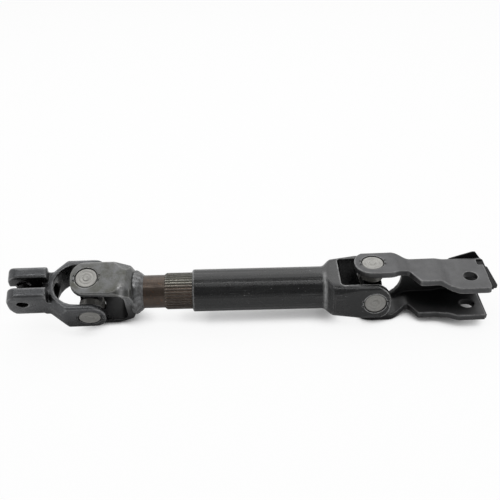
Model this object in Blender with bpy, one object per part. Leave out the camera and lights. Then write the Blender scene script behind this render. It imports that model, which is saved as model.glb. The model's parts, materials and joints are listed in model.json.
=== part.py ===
"""Steering intermediate shaft: a telescoping splined shaft with a universal joint at each end.

Units are metres and +Z is up. The shaft lies along X as it would come to rest on a flat
surface, with the origin at the bottom centre of the whole part. Each universal joint is
modelled in its own frame, with its origin at the centre of its cross.
"""

import math

import bmesh
import bpy
from mathutils import Matrix, Vector

# Clearance between neighbours that seat on or run in each other
GAP = 0.0003

# How the joints stand, in degrees
SHAFT_YOKE_ROLL = 22.0
CLAMP_SWING = 2.5
CLAMP_TURN = 3.0

# Universal joint: crosses, cups, needles and seals
JOINT_SPACING = 0.2082
EAR_REACH = 0.0216
EAR_THICKNESS = 0.0048
EAR_TIP = 0.0118
EAR_ROUNDING = 0.84
CUP_RADIUS = 0.0080
CUP_WALL = 0.0013
CUP_FLOOR = 0.0020
CUP_RECESS = 0.0004
CUP_CHAMFER = 0.0006
BUTTON_RADIUS = 0.0025
BUTTON_GROOVE_WIDTH = 0.0008
BUTTON_GROOVE_DEPTH = 0.0004
TRUNNION_RADIUS = 0.0046
HUB_THICKNESS = 0.0130
NEEDLE_COUNT = 18
NEEDLE_DIP = 0.0005
NEEDLE_FROM_MOUTH = 0.0016
SEAL_RADIUS = 0.0071
SEAL_THICKNESS = 0.0014
HUB_PAST_SEAL = 0.0002

# Clamp yoke, forged
CLAMP_WIDTH = 0.0266
CLAMP_SPLIT_TURN = -5.0
FORGED_EDGE = 0.0018
CLAMP_ROOT_RADIUS = 0.0142
CLAMP_SLANT = 0.0070
CLAMP_SLOT_BOTTOM = 0.0258
CLAMP_FLARE_START = 0.0190
CLAMP_START = 0.0293
CLAMP_END = 0.0585
CLAMP_HALF = 0.0128
CLAMP_BACK = 0.0132
CLAMP_EAR_REACH = 0.0215
CLAMP_GAP = 0.0074
CLAMP_CORNER = 0.0085
CLAMP_BORE_RADIUS = 0.0082
SERRATION_COUNT = 24
SERRATION_DEPTH = 0.0005
CLAMP_BOLT_RADIUS = 0.00415
CLAMP_BOLT_FROM_END = 0.0112
CLAMP_BOLT_OFFSET = 0.0098

# Shaft yoke, pressed and welded to the shaft
SHAFT_YOKE_CHEEK = 0.0018
SHAFT_YOKE_SLOT_BOTTOM = 0.0266
SHAFT_YOKE_BASE = 0.0336
SHAFT_YOKE_BEND = 0.0110
SHAFT_YOKE_INNER_BEND = 0.0060
PRESSED_EDGE = 0.0012
CONE_START = 0.0308
CONE_RISE = 0.0050
CONE_PAST_WELD = 0.0004
WELD_HEIGHT = 0.0026
WELD_LENGTH = 0.0060
WELD_RIPPLES = 13
WELD_RIPPLE = 0.0004

# Splined shaft
SHAFT_STEP = 0.0001
SPLINE_START = 0.0554
SPLINE_END = 0.1270
SPLINE_TEETH = 36
SPLINE_TOOTH_DEPTH = 0.0012
SPLINE_TOOTH_SHARE = 0.38

# Tube with its yoke
TUBE_START = 0.0758
TUBE_RADIUS = 0.0156
TUBE_WALL = 0.0021
TUBE_BORE_DEPTH = 0.0960
TUBE_SPLINE_LENGTH = 0.0500
TUBE_YOKE_WIDTH = 0.0278
TUBE_EAR_TIP = 0.0110
TUBE_FLARE_LENGTH = 0.0085
TUBE_FLARE_START = 0.0374
TUBE_SLOT_BOTTOM = 0.0247
TUBE_SLOT_CORNER = 0.0032
TUBE_EAR_EDGE = 0.0026
TUBE_SHOULDER_EDGE = 0.0080
TUBE_CHAMFER = 0.0008

# Channel yoke, bent from plate
PLATE = 0.0048
CHANNEL_EAR_WIDTH = 0.0274
CHANNEL_EAR_TIP = 0.0134
CHANNEL_HALF = 0.0168
CHANNEL_NEAR_HALF = 0.0144
CHANNEL_PINCH = 0.0012
CHANNEL_BACK = 0.0124
CHANNEL_BEND = 0.0050
CHANNEL_SLOT_BOTTOM = 0.0240
CHANNEL_START = 0.0290
CHANNEL_RAMP = 0.0150
FLANGE_START = 0.0325
NECK_X = 0.0258
NECK_REACH = 0.0064
FLANGE_REACH = 0.0190
FLANGE_END_REACH = 0.0268
JOGGLE_START = 0.0465
JOGGLE_LENGTH = 0.0130
CHANNEL_END = 0.0818
LOWER_SHORT = 0.0022
CHANNEL_BOLT_RADIUS = 0.0050
CHANNEL_BOLT_FROM_END = 0.0127
CHANNEL_BOLT_OFFSET = 0.0122
NOTCH_LENGTH = 0.0042
NOTCH_LOW = 0.0010
NOTCH_WIDTH = 0.0065

# Retaining clip, thin sheet
CLIP_SHEET = 0.0010
CLIP_BACK_LENGTH = 0.0230
CLIP_WING_RISE = 0.0015
CLIP_RIM = 0.0030
CLIP_LIP = 0.0026
CLIP_LIP_LOW = 0.0000
CLIP_LIP_HIGH = 0.0258

# Facets
ARC_STEPS = 6
ROUND_STEPS = 36
CUP_STEPS = 18
SMALL_STEPS = 16
BEND_STEPS = 4

# What follows from the sizes above
EAR_INNER = EAR_REACH - EAR_THICKNESS
CUP_FACE = EAR_REACH - CUP_RECESS
HUB_HALF = SEAL_RADIUS + HUB_PAST_SEAL
END_SLOPE = LOWER_SHORT / (2 * CHANNEL_NEAR_HALF)
CUP_MOUTH = HUB_HALF + SEAL_THICKNESS + 2 * GAP
CUP_BORE_RADIUS = CUP_RADIUS - CUP_WALL
TRUNNION_END = CUP_FACE - CUP_FLOOR - GAP
NEEDLE_LENGTH = TRUNNION_END - GAP - CUP_MOUTH - NEEDLE_FROM_MOUTH
SPLINE_TIP_RADIUS = TUBE_RADIUS - TUBE_WALL
SPLINE_ROOT_RADIUS = SPLINE_TIP_RADIUS - SPLINE_TOOTH_DEPTH
SHAFT_RADIUS = SPLINE_ROOT_RADIUS - SHAFT_STEP
WELD_RADIUS = SHAFT_RADIUS + WELD_HEIGHT
CONE_END_RADIUS = WELD_RADIUS + CONE_PAST_WELD
CONE_START_RADIUS = CONE_END_RADIUS + CONE_RISE
SHAFT_YOKE_WIDTH = 2 * (SHAFT_RADIUS + SHAFT_YOKE_CHEEK)
PAST = 0.0100


def arc(x, y, radius, start, end, steps):
    """Points on an arc, angles in degrees, both ends included."""
    points = []
    for step in range(steps + 1):
        angle = math.radians(start + (end - start) * step / steps)
        points.append((x + radius * math.cos(angle), y + radius * math.sin(angle)))
    return points


def rounded(corners, steps=ARC_STEPS):
    """An outline through corners (x, y, radius), each rounded by its own radius."""
    outline = []
    for index, (x, y, radius) in enumerate(corners):
        here = Vector((x, y))
        if radius == 0:
            outline.append((x, y))
            continue
        before = Vector(corners[index - 1][:2]) - here
        after = Vector(corners[(index + 1) % len(corners)][:2]) - here
        half_turn = before.angle(after) / 2
        longest = min(before.length, after.length) * math.tan(half_turn)
        radius = min(radius, 0.98 * longest)
        before.normalize()
        after.normalize()
        centre = here + (before + after).normalized() * radius / math.sin(half_turn)
        first = here + before * radius / math.tan(half_turn) - centre
        last = here + after * radius / math.tan(half_turn) - centre
        start = math.atan2(first.y, first.x)
        sweep = math.remainder(math.atan2(last.y, last.x) - start, 2 * math.pi)
        count = max(2, round(steps * abs(sweep) / (math.pi / 2)))
        end = math.degrees(start + sweep)
        outline += arc(centre.x, centre.y, radius, math.degrees(start), end, count)
    return outline


def toothed(root, tip, teeth, share):
    """A ring outline with straight-sided teeth; share is a tooth's part of the pitch."""
    outline = []
    pitch = 2 * math.pi / teeth
    for tooth in range(teeth):
        middle = tooth * pitch
        for radius, turn in ((root, -0.62), (tip, -0.5), (tip, 0.5), (root, 0.62)):
            angle = middle + turn * share * pitch
            outline.append((radius * math.cos(angle), radius * math.sin(angle)))
    return outline


def solid(shape, name="tool"):
    """An object at the origin made from a bmesh, with its faces pointing out."""
    bmesh.ops.recalc_face_normals(shape, faces=shape.faces)
    mesh = bpy.data.meshes.new(name)
    shape.to_mesh(mesh)
    shape.free()
    made = bpy.data.objects.new(name, mesh)
    bpy.context.collection.objects.link(made)
    return made


def extruded(outline, plane, low, high):
    """An outline drawn in plane xy, xz or yz and extruded along the third axis."""
    places = {"xy": (0, 1, 2), "xz": (0, 2, 1), "yz": (1, 2, 0)}[plane]
    shape = bmesh.new()
    corners = []
    for across, up in outline:
        place = [0.0, 0.0, 0.0]
        for axis, value in zip(places, (across, up, low)):
            place[axis] = value
        corners.append(shape.verts.new(place))
    face = shape.faces.new(corners)
    grown = bmesh.ops.extrude_face_region(shape, geom=[face])["geom"]
    lifted = [item for item in grown if isinstance(item, bmesh.types.BMVert)]
    step = [0.0, 0.0, 0.0]
    step[places[2]] = high - low
    bmesh.ops.translate(shape, verts=lifted, vec=step)
    return solid(shape)


def turned(profile, axis, steps):
    """A profile of (along, radius) points, closed on itself, spun about axis x or z."""
    shape = bmesh.new()
    verts = []
    for along, radius in profile:
        place = (along, 0, radius) if axis == "x" else (radius, 0, along)
        verts.append(shape.verts.new(place))
    edges = []
    for index, vert in enumerate(verts):
        after = (index + 1) % len(verts)
        if profile[index][1] > 0 or profile[after][1] > 0:
            edges.append(shape.edges.new((vert, verts[after])))
    spin_axis = (1, 0, 0) if axis == "x" else (0, 0, 1)
    bmesh.ops.spin(shape, geom=verts + edges, cent=(0, 0, 0), axis=spin_axis,
                   angle=2 * math.pi, steps=steps, use_merge=True)
    bmesh.ops.remove_doubles(shape, verts=shape.verts, dist=1e-6)
    return solid(shape)


def lofted(rings):
    """A closed solid through rings of equally many points."""
    shape = bmesh.new()
    loops = []
    for ring in rings:
        verts = [shape.verts.new(place) for place in ring]
        loops.append([shape.edges.new((verts[i - 1], verts[i])) for i in range(len(verts))])
    for lower, upper in zip(loops, loops[1:]):
        bmesh.ops.bridge_loops(shape, edges=lower + upper)
    for ends in (loops[0], loops[-1]):
        bmesh.ops.contextual_create(shape, geom=ends)
    return solid(shape)


def combine(base, tool, operation):
    """Boolean one object with another, keep the result in the first and remove the other."""
    modifier = base.modifiers.new("combine", "BOOLEAN")
    modifier.operation = operation
    modifier.object = tool
    view = bpy.context.evaluated_depsgraph_get()
    mesh = bpy.data.meshes.new_from_object(base.evaluated_get(view))
    base.modifiers.clear()
    base.data = mesh
    bpy.data.objects.remove(tool)
    return base


def cut(base, tool):
    return combine(base, tool, "DIFFERENCE")


def keep(base, tool):
    return combine(base, tool, "INTERSECT")


def join(base, tool):
    return combine(base, tool, "UNION")


def bar(radius, axis, low, high, steps=ROUND_STEPS):
    """A round bar along x, y or z, drawn as an extruded circle."""
    plane = {"x": "yz", "y": "xz", "z": "xy"}[axis]
    return extruded(arc(0, 0, radius, 0, 360, steps)[:-1], plane, low, high)


def moved(thing, x=0.0, y=0.0, z=0.0):
    """Shift an object's mesh."""
    thing.data.transform(Matrix.Translation((x, y, z)))
    return thing


def material(name, colour, roughness, metallic):
    """A named Principled material."""
    made = bpy.data.materials.new(name)
    made.use_nodes = True
    shader = made.node_tree.nodes["Principled BSDF"]
    shader.inputs["Base Color"].default_value = (*colour, 1.0)
    shader.inputs["Roughness"].default_value = roughness
    shader.inputs["Metallic"].default_value = metallic
    return made


def finished(thing, name, finish, parent, matrix=None):
    """Clean a solid's mesh, name it, give it its material and hang it on its parent."""
    shape = bmesh.new()
    shape.from_mesh(thing.data)
    bmesh.ops.remove_doubles(shape, verts=shape.verts, dist=2e-6)
    bmesh.ops.dissolve_degenerate(shape, edges=shape.edges, dist=2e-6)
    bmesh.ops.dissolve_limit(shape, angle_limit=math.radians(0.5), verts=shape.verts, edges=shape.edges)
    bmesh.ops.triangulate(shape, faces=shape.faces)
    shape.to_mesh(thing.data)
    shape.free()
    thing.name = name
    thing.data.name = name
    thing.data.materials.clear()
    thing.data.materials.append(finish)
    thing.data.shade_smooth()
    thing.data.set_sharp_from_angle(angle=math.radians(32))
    thing.parent = parent
    if matrix is not None:
        thing.matrix_local = matrix
    return thing


def empty(name, parent, matrix):
    """An empty that carries a moving body, on its joint's axis."""
    made = bpy.data.objects.new(name, None)
    made.empty_display_size = 0.02
    bpy.context.collection.objects.link(made)
    made.parent = parent
    made.matrix_local = matrix
    return made


def cup_holes(yoke):
    """Bore both ears for their cups, along the ear axis z."""
    return cut(yoke, bar(CUP_RADIUS + GAP, "z", -EAR_REACH - PAST, EAR_REACH + PAST, CUP_STEPS * 2))


def ear_outline(side, width, tip, end):
    """A yoke's plan: rounded ear tips on one side of the cross, straight to the other."""
    half = width / 2
    return rounded([(-side * tip, -half, EAR_ROUNDING * half), (side * end, -half, 0),
                    (side * end, half, 0), (-side * tip, half, EAR_ROUNDING * half)])


def soft_edges(width, radius):
    """A long bar as wide as a yoke and as high as its ears, with its long edges rounded."""
    half = width / 2
    reach = EAR_REACH - 0.0001
    corners = [(-half, -reach, radius), (half, -reach, radius), (half, reach, radius), (-half, reach, radius)]
    return extruded(rounded(corners, 2), "yz", -0.04, 0.07)


def clamp_yoke():
    """Forged yoke: a U from ear to ear that narrows into a split, serrated clamp.

    Local frame: x runs from the cross to the clamp's end, z through the ears,
    and the clamp's two ears point along y.
    """
    tip = -EAR_TIP - 0.001
    flare = 0.0080
    slot = EAR_INNER - 0.0001
    upper = [(tip, EAR_REACH, 0), (CLAMP_FLARE_START, EAR_REACH, flare),
             (CLAMP_START, CLAMP_HALF, flare), (CLAMP_START + 0.004, CLAMP_HALF, 0)]
    lower = [(x, -z, radius) for x, z, radius in reversed(upper)]
    throat = [(tip, -EAR_INNER, 0), (CLAMP_SLOT_BOTTOM, -EAR_INNER, slot),
              (CLAMP_SLOT_BOTTOM, EAR_INNER, slot), (tip, EAR_INNER, 0)]
    half = CLAMP_WIDTH / 2
    body = extruded(rounded(upper + lower + throat), "xz", -half, half)
    keep(body, extruded(ear_outline(1, CLAMP_WIDTH - 0.0001, EAR_TIP, 0.06), "xy", -0.04, 0.04))
    keep(body, soft_edges(CLAMP_WIDTH - 0.0002, FORGED_EDGE))
    wide = math.hypot(EAR_REACH, half)
    root = [(-0.03, 0), (-0.03, wide), (CLAMP_FLARE_START - 0.004, wide),
            (CLAMP_START, CLAMP_ROOT_RADIUS), (CLAMP_START + 0.006, CLAMP_ROOT_RADIUS), (CLAMP_START + 0.006, 0)]
    keep(body, turned(root, "x", ROUND_STEPS))
    gap = CLAMP_GAP / 2
    section = rounded([(CLAMP_EAR_REACH, CLAMP_HALF, 0.0032), (-CLAMP_BACK, CLAMP_HALF, 0.0112),
                       (-CLAMP_BACK, -CLAMP_HALF, 0.0112), (CLAMP_EAR_REACH, -CLAMP_HALF, 0.0032),
                       (CLAMP_EAR_REACH, -gap, 0.0022), (0, -gap, 0), (0, gap, 0),
                       (CLAMP_EAR_REACH, gap, 0.0022)])
    clamp = extruded(section, "yz", CLAMP_START - 0.0035, CLAMP_END)
    reach = CLAMP_EAR_REACH + PAST
    plan = rounded([(CLAMP_START - 0.005, -PAST * 2, 0), (CLAMP_END - 1.3 * CLAMP_SLANT, -PAST * 2, 0),
                    (CLAMP_END - CLAMP_SLANT, -CLAMP_BACK, 0), (CLAMP_END - 0.0004, 0.0030, 0.0080),
                    (CLAMP_END - 0.0004, CLAMP_EAR_REACH - 0.0002, CLAMP_CORNER),
                    (CLAMP_START, CLAMP_EAR_REACH - 0.0002, 0.0025), (CLAMP_START, half - 0.002, 0),
                    (CLAMP_START - 0.005, half - 0.002, 0)])
    keep(clamp, extruded(plan, "xy", -reach, reach))
    bolt = bar(CLAMP_BOLT_RADIUS, "z", -reach, reach, CUP_STEPS)
    cut(clamp, moved(bolt, CLAMP_END - CLAMP_BOLT_FROM_END, CLAMP_BOLT_OFFSET))
    clamp.data.transform(Matrix.Rotation(math.radians(CLAMP_SPLIT_TURN), 4, "X"))
    join(body, clamp)
    root = CLAMP_BORE_RADIUS + SERRATION_DEPTH
    bore = toothed(CLAMP_BORE_RADIUS, root, SERRATION_COUNT, 0.4)
    cut(body, extruded(bore, "yz", CLAMP_SLOT_BOTTOM - PAST, CLAMP_END + PAST))
    return cup_holes(body)


def shaft_yoke():
    """Pressed U-shaped yoke with a coned base, bored for the shaft.

    Local frame: x runs from the cross to the base, z through the ears.
    """
    tip = -EAR_TIP - 0.001
    side = rounded([(tip, EAR_REACH, 0), (SHAFT_YOKE_BASE, EAR_REACH, SHAFT_YOKE_BEND),
                    (SHAFT_YOKE_BASE, -EAR_REACH, SHAFT_YOKE_BEND), (tip, -EAR_REACH, 0),
                    (tip, -EAR_INNER, 0), (SHAFT_YOKE_SLOT_BOTTOM, -EAR_INNER, SHAFT_YOKE_INNER_BEND),
                    (SHAFT_YOKE_SLOT_BOTTOM, EAR_INNER, SHAFT_YOKE_INNER_BEND), (tip, EAR_INNER, 0)])
    half = SHAFT_YOKE_WIDTH / 2
    body = extruded(side, "xz", -half, half)
    keep(body, extruded(ear_outline(1, SHAFT_YOKE_WIDTH - 0.0001, EAR_TIP, 0.06), "xy", -0.04, 0.04))
    keep(body, soft_edges(SHAFT_YOKE_WIDTH - 0.0002, PRESSED_EDGE))
    corner = math.hypot(EAR_REACH, half)
    envelope = [(-0.02, 0), (-0.02, corner), (CONE_START - 0.013, corner), (CONE_START, CONE_START_RADIUS),
                (SHAFT_YOKE_BASE - 0.00002, CONE_END_RADIUS), (SHAFT_YOKE_BASE - 0.00002, 0)]
    keep(body, turned(envelope, "x", ROUND_STEPS))
    cut(body, bar(SHAFT_RADIUS + GAP, "x", SHAFT_YOKE_SLOT_BOTTOM - PAST, SHAFT_YOKE_BASE + PAST))
    return cup_holes(body)


def weld_bead():
    """The weld's ring of ripples in the corner between the yoke's base and the shaft."""
    start = SHAFT_YOKE_BASE + GAP
    inner = SHAFT_RADIUS + GAP
    profile = [(start, inner), (start, WELD_RADIUS - 0.0006), (start + 0.0012, WELD_RADIUS),
               (start + 0.0032, WELD_RADIUS - 0.0006), (start + 0.0052, inner + 0.0008),
               (start + WELD_LENGTH, inner + 0.0003), (start + WELD_LENGTH, inner)]
    steps = WELD_RIPPLES * 3
    rings = []
    for step in range(steps):
        angle = 2 * math.pi * step / steps
        ripple = WELD_RIPPLE * math.sin(angle * WELD_RIPPLES)
        ring = []
        for along, radius in profile:
            share = (radius - inner) / (WELD_RADIUS - inner)
            out = radius + ripple * share
            ring.append((along + ripple * share, out * math.cos(angle), out * math.sin(angle)))
        rings.append(ring)
    shape = bmesh.new()
    loops = []
    for ring in rings:
        verts = [shape.verts.new(place) for place in ring]
        verts[0].co.x = start
        verts[1].co.x = start
        loops.append([shape.edges.new((verts[i - 1], verts[i])) for i in range(len(verts))])
    for index in range(steps):
        bmesh.ops.bridge_loops(shape, edges=loops[index - 1] + loops[index])
    return solid(shape)


def splined_shaft():
    """Solid shaft: plain through the yoke and the weld, then a long male spline."""
    start = SHAFT_YOKE_SLOT_BOTTOM + 0.0005
    chamfer = 0.0010
    plain = [(start, 0), (start, SHAFT_RADIUS - chamfer), (start + chamfer, SHAFT_RADIUS),
             (SPLINE_START + 0.002, SHAFT_RADIUS), (SPLINE_START + 0.002, 0)]
    shaft = turned(plain, "x", ROUND_STEPS)
    teeth = toothed(SPLINE_ROOT_RADIUS, SPLINE_TIP_RADIUS, SPLINE_TEETH, SPLINE_TOOTH_SHARE)
    spline = extruded(teeth, "yz", SPLINE_START, SPLINE_END)
    slope = SPLINE_TOOTH_DEPTH + 0.0004
    ends = [(SPLINE_START - 0.001, 0), (SPLINE_START - 0.001, SPLINE_TIP_RADIUS - slope),
            (SPLINE_START + slope, SPLINE_TIP_RADIUS + 0.0002),
            (SPLINE_END - slope, SPLINE_TIP_RADIUS + 0.0002),
            (SPLINE_END + 0.001, SPLINE_TIP_RADIUS - slope), (SPLINE_END + 0.001, 0)]
    keep(spline, turned(ends, "x", ROUND_STEPS))
    return join(shaft, spline)


def section(x, half_y, half_z, corner):
    """A ring across x: a rectangle with round corners, which may be a full circle."""
    corner = min(corner, half_y - 0.00005, half_z - 0.00005)
    ring = []
    for turn, across, up in ((0, 1, 1), (90, -1, 1), (180, -1, -1), (270, 1, -1)):
        centre_y = across * (half_y - corner)
        centre_z = up * (half_z - corner)
        for y, z in arc(centre_y, centre_z, corner, turn, turn + 90, ARC_STEPS + 2):
            ring.append((x, y, z))
    return ring


def tube_yoke():
    """Tube with an internal spline; its far end flares into a slotted yoke.

    Local frame: the cross is at the origin, the tube runs towards -x, z goes through the ears.
    """
    start = TUBE_START - JOINT_SPACING
    half = TUBE_YOKE_WIDTH / 2
    rings = [section(start, TUBE_RADIUS - TUBE_CHAMFER, TUBE_RADIUS - TUBE_CHAMFER, 1),
             section(start + TUBE_CHAMFER, TUBE_RADIUS, TUBE_RADIUS, 1)]
    for step in range(7):
        share = step / 6
        ease = share * share * (3 - 2 * share)
        x = -TUBE_FLARE_START + TUBE_FLARE_LENGTH * share
        rings.append(section(x, TUBE_RADIUS + (half - TUBE_RADIUS) * ease,
                             TUBE_RADIUS + (EAR_REACH - TUBE_RADIUS) * ease,
                             TUBE_RADIUS + (TUBE_SHOULDER_EDGE - TUBE_RADIUS) * ease))
    rings.append(section(-TUBE_EAR_TIP, half, EAR_REACH, TUBE_EAR_EDGE))
    rings.append(section(TUBE_EAR_TIP + 0.001, half, EAR_REACH, TUBE_EAR_EDGE))
    body = lofted(rings)
    outline = rounded([(-0.2, -0.02, 0), (TUBE_EAR_TIP, -half + 0.0001, EAR_ROUNDING * half),
                       (TUBE_EAR_TIP, half - 0.0001, EAR_ROUNDING * half), (-0.2, 0.02, 0)])
    keep(body, extruded(outline, "xy", -0.04, 0.04))
    slot = rounded([(-TUBE_SLOT_BOTTOM, -EAR_INNER, TUBE_SLOT_CORNER), (TUBE_EAR_TIP + PAST, -EAR_INNER, 0),
                    (TUBE_EAR_TIP + PAST, EAR_INNER, 0), (-TUBE_SLOT_BOTTOM, EAR_INNER, TUBE_SLOT_CORNER)])
    cut(body, extruded(slot, "xz", -0.04, 0.04))
    teeth = toothed(SPLINE_ROOT_RADIUS + GAP, SPLINE_TIP_RADIUS + GAP, SPLINE_TEETH,
                    SPLINE_TOOTH_SHARE + 0.26)
    cut(body, extruded(teeth, "yz", start - PAST, start + TUBE_SPLINE_LENGTH))
    bore = SPLINE_TIP_RADIUS + 2 * GAP
    floor = start + TUBE_BORE_DEPTH
    smooth = [(start + TUBE_SPLINE_LENGTH - 0.001, 0), (start + TUBE_SPLINE_LENGTH - 0.001, bore),
              (floor - 0.003, bore), (floor, 0.004), (floor, 0)]
    cut(body, turned(smooth, "x", ROUND_STEPS))
    return cup_holes(body)


def channel_ring(x, wall):
    """The channel's section at x, or its inside when a wall is given; open towards -y."""
    ears = smooth_share(x, CHANNEL_RAMP, CHANNEL_START)
    half = EAR_REACH + (CHANNEL_HALF - EAR_REACH) * ears - wall
    bend = max(0.0010 + (CHANNEL_BEND - 0.0010) * ears - wall, 0.0007)
    pinch = smooth_share(x, JOGGLE_START, JOGGLE_START + 0.6 * JOGGLE_LENGTH)
    back = CHANNEL_BACK - wall
    far = -0.0300
    half -= pinch * CHANNEL_PINCH
    slope = (CHANNEL_HALF - CHANNEL_PINCH - CHANNEL_NEAR_HALF) / (CHANNEL_BACK + FLANGE_END_REACH)
    near_half = half - pinch * slope * (CHANNEL_BACK - far)
    ring = [(x, far, -near_half)]
    for y, z in arc(back - bend, -half + bend, bend, 270, 360, BEND_STEPS):
        ring.append((x, y, z))
    for y, z in arc(back - bend, half - bend, bend, 0, 90, BEND_STEPS):
        ring.append((x, y, z))
    ring.append((x, far, near_half))
    return ring


def smooth_share(x, start, end):
    """0 before start, 1 after end, eased between them."""
    share = min(max((x - start) / (end - start), 0), 1)
    return share * share * (3 - 2 * share)


def channel_stations():
    """Places along x where the channel's section changes, with steps through each ramp."""
    places = [-CHANNEL_EAR_TIP - 0.002]
    for start, end, count in ((CHANNEL_RAMP, CHANNEL_START, 6),
                              (JOGGLE_START, JOGGLE_START + 0.6 * JOGGLE_LENGTH, 4)):
        places += [start + (end - start) * step / count for step in range(count + 1)]
    return places + [CHANNEL_END + 0.004]


def channel_yoke():
    """Plate yoke: two ears that run into a channel, open towards -y, with a stepped end.

    Local frame: x runs from the cross to the free end, z through the ears.
    """
    body = lofted([channel_ring(x, 0) for x in channel_stations()])
    inside = lofted([[(px, py - 0.0005 if py < -0.029 else py, pz) for px, py, pz in channel_ring(x, PLATE)]
                     for x in [-0.03] + channel_stations()[1:-1] + [CHANNEL_END + PAST]])
    cut(body, inside)
    half = CHANNEL_EAR_WIDTH / 2
    plan = rounded([(-CHANNEL_EAR_TIP, -half, half - 0.0008), (0.0140, -half, 0.0070),
                    (NECK_X, -NECK_REACH, 0.0022), (FLANGE_START, -FLANGE_REACH, 0.0020),
                    (JOGGLE_START, -FLANGE_REACH, 0.0060),
                    (JOGGLE_START + JOGGLE_LENGTH, -FLANGE_END_REACH, 0.0060),
                    (CHANNEL_END, -FLANGE_END_REACH, 0.0025), (CHANNEL_END, 0.0200, 0),
                    (0.0100, 0.0200, 0), (0.0020, half + 0.0004, 0),
                    (-CHANNEL_EAR_TIP, half + 0.0004, half - 0.0008)])
    keep(body, extruded(plan, "xy", -0.04, 0.04))
    throat = rounded([(-0.03, -EAR_INNER + 0.0001, 0), (CHANNEL_SLOT_BOTTOM, -EAR_INNER + 0.0001, EAR_INNER - 0.0003),
                      (CHANNEL_SLOT_BOTTOM, EAR_INNER - 0.0001, EAR_INNER - 0.0003), (-0.03, EAR_INNER - 0.0001, 0)])
    cut(body, extruded(throat, "xz", -0.04, 0.04))
    bolt = bar(CHANNEL_BOLT_RADIUS, "z", -0.04, 0.04, CUP_STEPS)
    cut(body, moved(bolt, CHANNEL_END - CHANNEL_BOLT_FROM_END, -CHANNEL_BOLT_OFFSET))
    notch = rounded([(CHANNEL_END - NOTCH_LENGTH, NOTCH_LOW, 0.0012), (CHANNEL_END + PAST, NOTCH_LOW, 0),
                     (CHANNEL_END + PAST, NOTCH_LOW + NOTCH_WIDTH, 0),
                     (CHANNEL_END - NOTCH_LENGTH, NOTCH_LOW + NOTCH_WIDTH, 0.0012)], 3)
    cut(body, extruded(notch, "xy", CHANNEL_NEAR_HALF - PLATE - 0.004, 0.04))
    deepest = 2 * EAR_REACH
    slant = [(CHANNEL_END, CHANNEL_NEAR_HALF), (CHANNEL_END + PAST, CHANNEL_NEAR_HALF),
             (CHANNEL_END + PAST, -deepest),
             (CHANNEL_END - END_SLOPE * (CHANNEL_NEAR_HALF + deepest), -deepest)]
    cut(body, extruded(slant, "xz", -0.04, 0.04))
    return cup_holes(body)


def retaining_clip():
    """Thin sheet clip: a plate behind the channel, a rim over its end, a lip and a hook."""
    behind = CHANNEL_BACK + GAP
    face = CHANNEL_END + GAP
    front = face + CLIP_SHEET
    low = -CHANNEL_HALF + CHANNEL_BEND
    peak = CHANNEL_HALF + CLIP_WING_RISE
    wing = rounded([(CHANNEL_END - CLIP_BACK_LENGTH, low, 0.002), (front, low, 0),
                    (front, CHANNEL_HALF - CHANNEL_BEND, 0), (CHANNEL_END - 0.0038, peak, 0.0010),
                    (CHANNEL_END - 0.0060, peak, 0.0010),
                    (CHANNEL_END - CLIP_BACK_LENGTH, CHANNEL_HALF - 0.004, 0.0015)], 3)
    clip = extruded(wing, "xz", behind, behind + CLIP_SHEET)
    top = CHANNEL_NEAR_HALF
    deep = -FLANGE_END_REACH + 0.0020
    rim = [(behind + CLIP_SHEET - 0.0001, low + 0.0001), (behind + CLIP_SHEET - 0.0001, -low - 0.0001),
           (0.0085, top - 0.0001), (deep, top - 0.0001), (deep, top - CLIP_RIM),
           (0.0060, top - CLIP_RIM), (0.0090, top - CLIP_RIM - 0.003), (0.0090, -top + CLIP_RIM + 0.003),
           (0.0060, -top + CLIP_RIM), (deep, -top + CLIP_RIM), (deep, -top), (0.0085, -top)]
    join(clip, extruded(rim, "yz", face, front - 0.00005))
    widest = CLIP_LIP_HIGH - CLIP_LIP
    lip = rounded([(face + 0.0002, -CLIP_LIP_HIGH, 0), (front + 0.6 * CLIP_LIP, -CLIP_LIP_HIGH, 0.0015),
                   (front + CLIP_LIP, -widest, 0.0030), (front + 0.4 * CLIP_LIP, -CLIP_LIP_LOW, 0.0015),
                   (face + 0.0002, -CLIP_LIP_LOW, 0)], 3)
    join(clip, extruded(lip, "xy", top - CLIP_SHEET - 0.0002, top - 0.0002))
    hook = [(CHANNEL_END - NOTCH_LENGTH + 0.0005, NOTCH_LOW + 0.0006), (face + 0.0004, NOTCH_LOW + 0.0006),
            (face + 0.0004, NOTCH_LOW + NOTCH_WIDTH - 0.0006),
            (CHANNEL_END - NOTCH_LENGTH + 0.0005, NOTCH_LOW + NOTCH_WIDTH - 0.0006)]
    join(clip, extruded(hook, "xy", top - CLIP_SHEET - 0.0003, top - 0.0003))
    for vert in clip.data.vertices:
        vert.co.x += END_SLOPE * (vert.co.z - CHANNEL_NEAR_HALF)
    return clip


def cross():
    """Forged cross: a squat hub with four ground trunnions along y and z."""
    chamfer = 0.0006
    hub = HUB_HALF
    corners = rounded([(-hub, -hub, 0.002), (hub, -hub, 0.002), (hub, hub, 0.002), (-hub, hub, 0.002)], 2)
    body = extruded(corners, "yz", -HUB_THICKNESS / 2, HUB_THICKNESS / 2)
    for turn in (0, 90):
        pin = turned([(-TRUNNION_END, 0), (-TRUNNION_END, TRUNNION_RADIUS - chamfer),
                      (-TRUNNION_END + chamfer, TRUNNION_RADIUS), (TRUNNION_END - chamfer, TRUNNION_RADIUS),
                      (TRUNNION_END, TRUNNION_RADIUS - chamfer), (TRUNNION_END, 0)], "z", SMALL_STEPS)
        pin.data.transform(Matrix.Rotation(math.radians(turn), 4, "X"))
        join(body, pin)
    return body


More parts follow.
